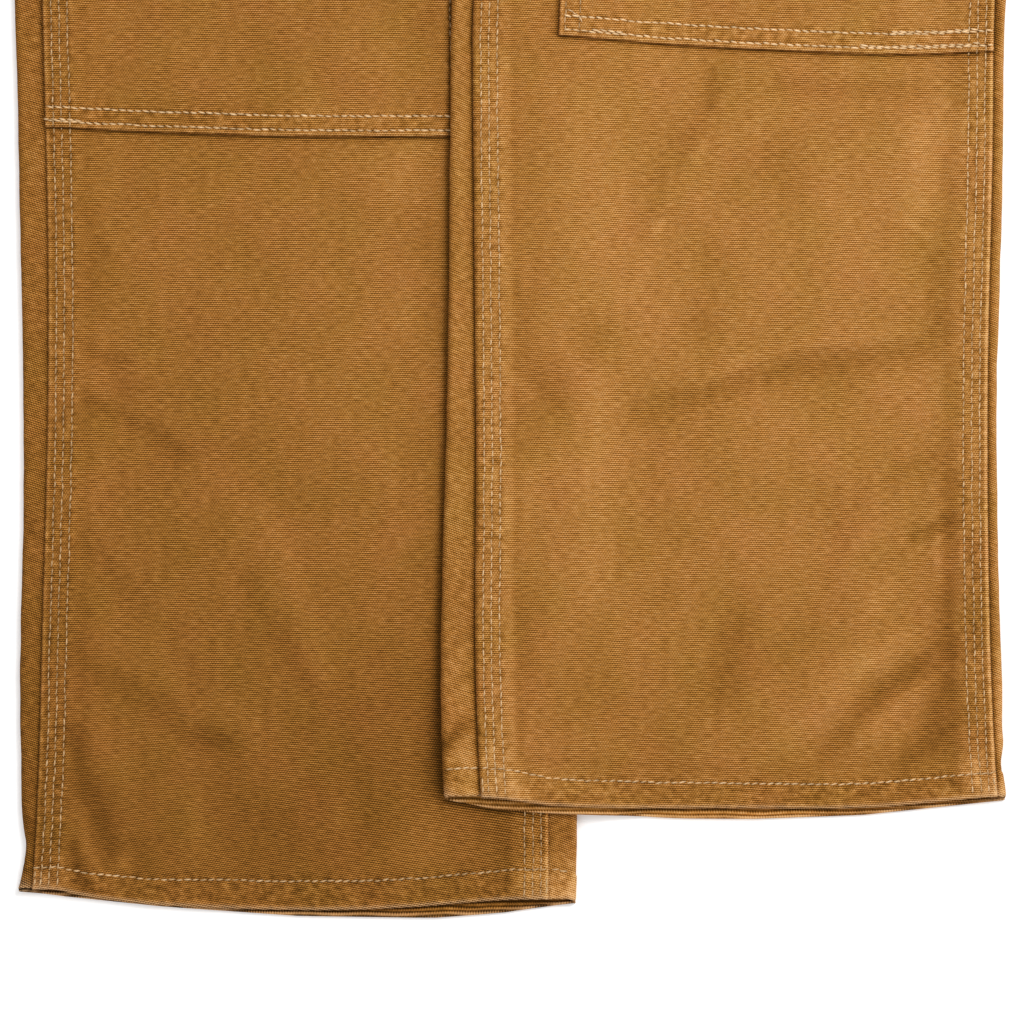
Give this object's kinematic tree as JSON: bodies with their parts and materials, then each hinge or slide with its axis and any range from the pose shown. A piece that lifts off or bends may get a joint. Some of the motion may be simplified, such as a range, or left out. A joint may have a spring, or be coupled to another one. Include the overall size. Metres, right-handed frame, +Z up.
{
  "type": "carpenter pants",
  "caption": "Double-front duck canvas work pants laid flat, front side up, one leg lapped over the other, with felled seams and a waistband.",
  "frame": {"origin": "on the floor, under the middle of the box that the laid-out garment fills", "axes": "+X to the wearer's left, +Y from the hems to the waist, +Z up from the floor, out of the front of the garment"},
  "size_m": [0.5994, 1.1284, 0.0147],
  "materials": {
    "canvas": "brown cotton duck canvas, plain weave, worn lighter at its edges",
    "button": "aged brass, dished"
  },
  "bodies": {
    "root": {"back_right": "canvas", "front_right": "canvas", "knee_panel_right": "canvas", "pocket_facing_right": "canvas", "back_left": "canvas", "front_left": "canvas", "knee_panel_left": "canvas", "pocket_facing_left": "canvas", "waistband": "canvas", "belt_loop_1": "canvas", "belt_loop_2": "canvas", "belt_loop_3": "canvas", "belt_loop_4": "canvas", "hammer_loop": "canvas", "waist_button": "button"}
  },
  "joints": []
}
